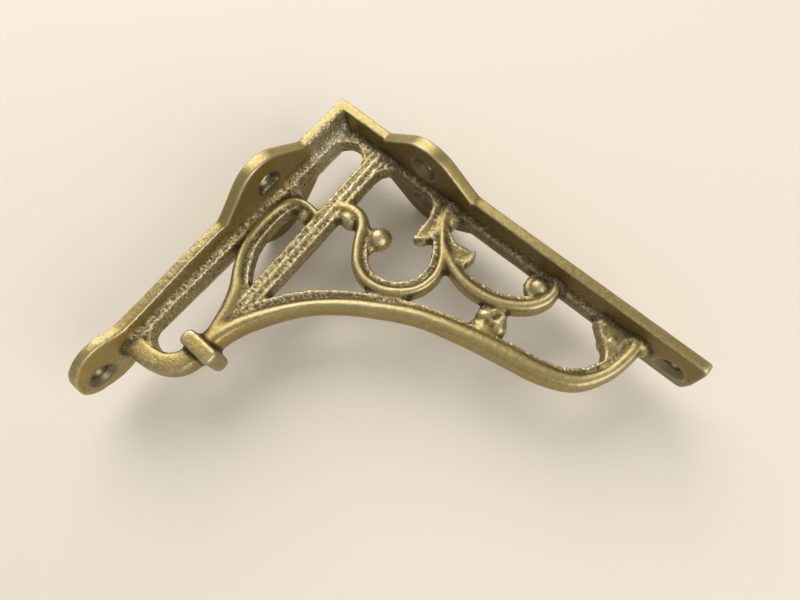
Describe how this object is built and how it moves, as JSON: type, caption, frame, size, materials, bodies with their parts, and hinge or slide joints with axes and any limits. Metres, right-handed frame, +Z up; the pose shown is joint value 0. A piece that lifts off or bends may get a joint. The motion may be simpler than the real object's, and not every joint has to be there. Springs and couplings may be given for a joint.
{
  "type": "shelf bracket",
  "caption": "Cast right-angle shelf bracket with pierced scrollwork, an arched brace, eared flanges and countersunk screw holes, in an antique brass finish.",
  "frame": {"origin": "the outer corner where the wall face and the shelf face meet, on the casting's parting plane", "axes": "+X along the shelf arm, -Y along the wall arm, +Z across the casting; as in the picture the bracket lies on its side, so +Z is up"},
  "size_m": [0.127, 0.1115, 0.0396],
  "materials": {
    "bracket_iron": "antique brass plating with dark patina over sand-cast iron"
  },
  "bodies": {
    "root": {"bracket": "bracket_iron"}
  },
  "joints": []
}
